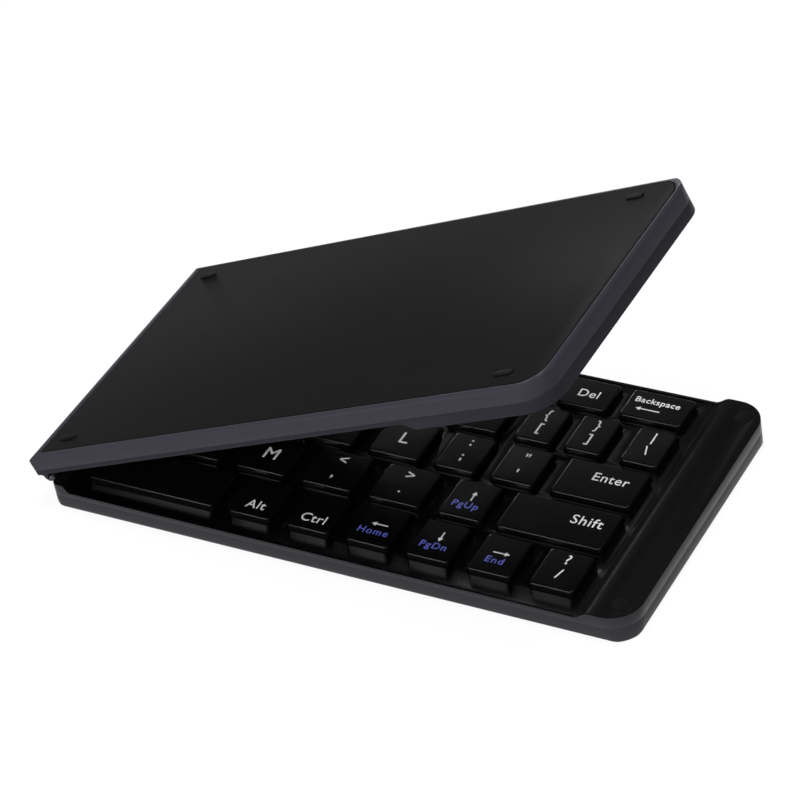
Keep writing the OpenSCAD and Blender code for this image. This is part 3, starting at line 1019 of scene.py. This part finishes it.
@dataclass
class Half:
    """The case parts of one half: cover, outer plate, key frame and feet.

    end and ramp are the distances from the hinge line to the half's hinge end and to the foot
    of its border bar. The painters compare them with X as it stands, and the left half's X are
    negative. So its key frame is satin all over, and its recess has the wall's finish.
    """

    side: Side
    wall: Finish
    frame_wall: Finish
    end: float
    ramp: float
    plate: Finish = PLATE_PAINT
    hinge_corner: float = 2.0
    hinge_bar: float = 5.2
    # The recess and groove for the outer plate, which get the black painted shade: heights, and
    # least distance from the outline
    recess: tuple[float, float] = (0.02, 0.42)
    recess_inset: float = 1.4
    # A frame's face is on its wall this near the outline, unless it is flatter than this
    wall_inset: float = 0.3
    wall_flatness: float = 0.8
    # Least Z of the normals of the plate's flat faces; steeper faces of its rim get the black
    # painted shade of the groove
    plate_flatness: float = 0.98

    def shells(self) -> list[MouldedShell]:
        """Lists the moulded shells of this half.

        Returns:
            One entry for each CAD node that is rounded and painted.
        """
        name = self.side.value
        fine = EdgeSoftening(width=0.08, segments=2)
        # The plate's rim is rounded wider, so that the black painted shade of the groove shows on
        # it
        rim = EdgeSoftening(width=0.3, segments=3)
        return [
            MouldedShell(f"{name}_bottom_cover", self.side, self._cover_paint, "side_band"),
            MouldedShell(
                f"{name}_cover_plate", self.side, self._plate_paint, "outer_plate", rim
            ),
            MouldedShell(f"{name}_key_frame", self.side, self._frame_paint, "key_frame_gloss"),
            MouldedShell(f"{name}_feet", self.side, lambda *_: RUBBER, "rubber", fine),
        ]

    def _inset(self, place: Vector) -> float:
        """Measures how far a place lies inside the half's outline, seen from above.

        Args:
            place: Place in half coordinates.

        Returns:
            The distance in millimetres, negative outside and on nearly all of the left half.
        """
        middle = (CASE.width + self.end) / 2
        x = place.x - middle
        radius = CASE.corner if x > 0 else self.hinge_corner
        over_x = abs(x) - ((CASE.width - self.end) / 2 - radius)
        over_y = abs(place.y) - (CASE.depth / 2 - radius)
        outside = math.hypot(max(over_x, 0.0), max(over_y, 0.0))
        return radius - outside - min(max(over_x, over_y), 0.0)

    def _plate_paint(self, place: Vector, normal: Vector) -> Finish:
        """Satin paint on the plate's flat faces, and black painted shade on its rim in the groove.
        """
        return self.plate if abs(normal.z) > self.plate_flatness else GROOVE_PAINTED_SHADE

    def _cover_paint(self, place: Vector, normal: Vector) -> Finish:
        """Picks the wall's finish outside, and black painted shade in the recess for the outer
        plate.

        Args:
            place: Middle of a face, in half coordinates.
            normal: Normal of the face.

        Returns:
            The finish of the face.
        """
        low, high = self.recess
        # Faces in the recess get the black painted shade of the groove
        in_painted_groove_shade = low < place.z < high and self._inset(place) > self.recess_inset
        return GROOVE_PAINTED_SHADE if in_painted_groove_shade else self.wall

    def _frame_paint(self, place: Vector, normal: Vector) -> Finish:
        """Picks the wall's finish outside, satin on the two bars and gloss between them.

        Args:
            place: Middle of a face, in half coordinates.
            normal: Normal of the face.

        Returns:
            The finish of the face.
        """
        if self._inset(place) < self.wall_inset and abs(normal.z) < self.wall_flatness:
            return self.frame_wall
        if place.x > self.ramp or place.x < self.end + self.hinge_bar:
            return BORDER_SATIN
        return DECK_GLOSS


# Nodes that keep their CAD mesh, with the finish that each gets
CAD_FINISHES: dict[str, Finish] = {
    "right_support_plate": SHEET_STEEL,
    "left_support_plate": SHEET_STEEL,
    "right_switch_film": FILM,
    "left_switch_film": FILM,
    "right_rubber_domes": SILICONE,
    "left_rubber_domes": SILICONE,
    "right_scissor_links": ACETAL,
    "left_scissor_links": ACETAL,
    "right_magnets": NICKEL,
    "left_magnets": NICKEL,
    "right_screws": PIN_STEEL,
    "left_screws": PIN_STEEL,
    "hinge_pins": PIN_STEEL,
    "flex_cable_roll": POLYIMIDE,
    "flex_cable_tail": POLYIMIDE,
    "main_board": SOLDER_MASK,
    "battery": POUCH,
    "charging_port": SOCKET_STEEL,
    "power_switch_knob": BORDER_SATIN,
}


def finish_cad_nodes(frame: dict) -> None:
    """Gives the nodes that keep their CAD mesh a procedural finish.
    """
    for name, finish in CAD_FINISHES.items():
        node = frame["nodes"][name]
        for material_slot in node.material_slots:
            material_slot.material = finish.material()
        LOG.info("%s: %s", name, finish.name)


# ---------------------------------------------------------------- studio


@dataclass(frozen=True)
class Viewpoint:
    """The photograph's camera; its place is in the lower half's coordinates."""

    place: tuple[float, float, float] = (457.05, -544.36, 537.29)
    azimuth_deg: float = 34.42
    elevation_deg: float = 37.95
    roll_deg: float = -10.53
    lens: float = 151.2
    sensor: float = 36.0
    far: float = 20.0

    def build(self) -> bpy.types.Object:
        """Makes the camera and makes it the scene's own.

        Returns:
            The camera object.
        """
        az, el, roll = (
            math.radians(v) for v in (self.azimuth_deg, self.elevation_deg, self.roll_deg)
        )
        back = Vector((math.sin(az) * math.cos(el), -math.cos(az) * math.cos(el), math.sin(el)))
        right = Vector((math.cos(az), math.sin(az), 0.0))
        up = back.cross(right)
        across = math.cos(roll) * right + math.sin(roll) * up
        upright = math.cos(roll) * up - math.sin(roll) * right
        turn = Matrix((across, upright, back)).transposed().to_4x4()
        camera = bpy.data.cameras.new("camera")
        camera.sensor_width = self.sensor
        camera.lens = self.lens
        camera.clip_end = self.far
        obj = bpy.data.objects.new("camera", camera)
        bpy.context.scene.collection.objects.link(obj)
        place = Vector(self.place) + Vector((CASE.hinge_x, 0.0, CASE.foot))
        obj.matrix_world = Matrix.Translation(place * MM) @ turn
        bpy.context.scene.camera = obj
        return obj


@dataclass(frozen=True)
class SoftLight:
    """A soft box: where it stands, its size in metres and its power in watts."""

    name: str
    place: tuple[float, float, float]
    size: tuple[float, float]
    power: float
    target: tuple[float, float, float] = (0.0, 0.0, 0.03)

    def build(self) -> bpy.types.Object:
        """Makes the light and turns it to its target.

        Returns:
            The light object.
        """
        light = bpy.data.lights.new(self.name, "AREA")
        light.shape = "RECTANGLE"
        light.size, light.size_y = self.size
        light.energy = self.power
        obj = bpy.data.objects.new(self.name, light)
        obj.visible_camera = False
        bpy.context.scene.collection.objects.link(obj)
        aim = Vector(self.target) - Vector(self.place)
        obj.matrix_world = (
            Matrix.Translation(self.place) @ aim.to_track_quat("-Z", "Y").to_matrix().to_4x4()
        )
        return obj


@dataclass(frozen=True)
class Studio:
    """White floor, surround and soft boxes.

    surround is the strength of the world for all but camera rays, and shadow_share how much of
    the floor's own shading, and so of the shadow on it, shows.
    """

    lights: tuple[SoftLight, ...] = (
        SoftLight("top_softbox", (0.15, 0.1, 1.65), (0.8, 0.8), 29.0),
        SoftLight("back_glow", (-0.5, 1.15, 0.85), (0.5, 0.3), 0.1),
        SoftLight("front_left_strip", (-0.55, -1.15, 0.6), (0.5, 0.14), 9.0),
        SoftLight("front_right_box", (0.06, -0.6, 0.22), (0.25, 0.15), 1.6),
        SoftLight("corner_light", (0.6, -0.4, 0.9), (0.12, 0.12), 1.0),
        SoftLight("low_back_patch", (-1.3, 1.6, 0.56), (0.4, 0.2), 8.0),
    )
    floor_size: float = 12.0
    floor_colour: str = "#f4f4f4"
    floor_roughness: float = 0.9
    floor_specular: float = 0.1
    surround: float = 0.08
    shadow_share: float = 0.08

    def build(self) -> None:
        """Makes the floor, the surround and the lights."""
        self._floor()
        self._world()
        for light in self.lights:
            light.build()
        bpy.context.scene.view_settings.view_transform = "Standard"

    def _seen_directly(self, tree: bpy.types.NodeTree) -> bpy.types.NodeSocket:
        """Adds a factor for the rays that see the floor as a plain white backdrop.

        Args:
            tree: Node tree that the nodes go into.

        Returns:
            A socket that is 1 for camera, glossy and transmission rays and 0 for others.
        """
        path = add_node(tree, "ShaderNodeLightPath")
        seen = path.outputs["Is Camera Ray"]
        for name in ("Is Glossy Ray", "Is Transmission Ray"):
            seen = add_node(
                tree,
                "ShaderNodeMath",
                {"operation": "MAXIMUM"},
                {0: seen, 1: path.outputs[name]},
            ).outputs[0]
        return seen

    def _floor(self) -> None:
        """Makes the floor: white where seen, with a faint shadow of the object."""
        half = self.floor_size / 2
        mesh = bpy.data.meshes.new("studio_floor")
        corners = [(-half, -half, 0), (half, -half, 0), (half, half, 0), (-half, half, 0)]
        mesh.from_pydata(corners, [], [(0, 1, 2, 3)])
        floor = object_from(mesh, "studio_floor")
        material = bpy.data.materials.new("white_sweep")
        material.use_nodes = True
        tree = material.node_tree
        shader = tree.nodes["Principled BSDF"]
        shader.inputs["Base Color"].default_value = linear(self.floor_colour)
        shader.inputs["Roughness"].default_value = self.floor_roughness
        shader.inputs["Specular IOR Level"].default_value = self.floor_specular
        white = add_node(tree, "ShaderNodeEmission", None, {"Strength": 1.0})
        share = add_node(
            tree,
            "ShaderNodeMath",
            {"operation": "MULTIPLY"},
            {0: self._seen_directly(tree), 1: 1.0 - self.shadow_share},
        )
        mix = add_node(
            tree,
            "ShaderNodeMixShader",
            None,
            {0: share.outputs[0], 1: shader.outputs[0], 2: white.outputs[0]},
        )
        tree.links.new(mix.outputs[0], tree.nodes["Material Output"].inputs["Surface"])
        mesh.materials.append(material)

    def _world(self) -> None:
        """Makes the surround: white to the camera, and nearly dark as a light."""
        world = bpy.data.worlds.new("surround")
        bpy.context.scene.world = world
        world.use_nodes = True
        tree = world.node_tree
        background = tree.nodes["Background"]
        strength = add_node(
            tree,
            "ShaderNodeMapRange",
            None,
            {
                "Value": add_node(tree, "ShaderNodeLightPath").outputs["Is Camera Ray"],
                "To Min": self.surround,
                "To Max": 1.0,
            },
        )
        background.inputs["Color"].default_value = linear("#ffffff")
        tree.links.new(strength.outputs[0], background.inputs["Strength"])


# ---------------------------------------------------------------- the whole keyboard

PAD_EDGES = EdgeSoftening(width=0.06, segments=3)


def build_keyboard(frame: dict) -> None:
    """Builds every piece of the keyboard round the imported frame.
    """
    right = Half(Side.RIGHT, WALL_LACQUER, WALL_LACQUER, end=1.95, ramp=149.8)
    left = Half(Side.LEFT, BAND_LACQUER, FRAME_EDGE, end=CASE.lid_end, ramp=121.0)
    for half in (right, left):
        for shell in half.shells():
            obj = shell.build(frame)
            LOG.info("%s: %d faces", obj.name, len(obj.data.polygons))
    pads = MouldedShell(
        "right_bumper_pads", Side.RIGHT, lambda *_: RUBBER, "rubber", PAD_EDGES
    )
    LOG.info("%s", pads.build(frame).name)
    tree = CapTree()
    for keys in (
        KeyField(Side.RIGHT, RIGHT_KEY_NODES, tree),
        KeyField(Side.LEFT, LEFT_KEY_NODES, tree),
    ):
        for obj in keys.build():
            LOG.info("%s: %d faces", obj.name, len(obj.data.polygons))
    finish_cad_nodes(frame)


def main() -> None:
    """Loads the frame, builds camera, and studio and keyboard."""
    logging.basicConfig(level=logging.INFO, format="%(message)s")
    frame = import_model()
    Viewpoint().build()
    Studio().build()
    build_keyboard(frame)


if __name__ == "__main__":
    main()
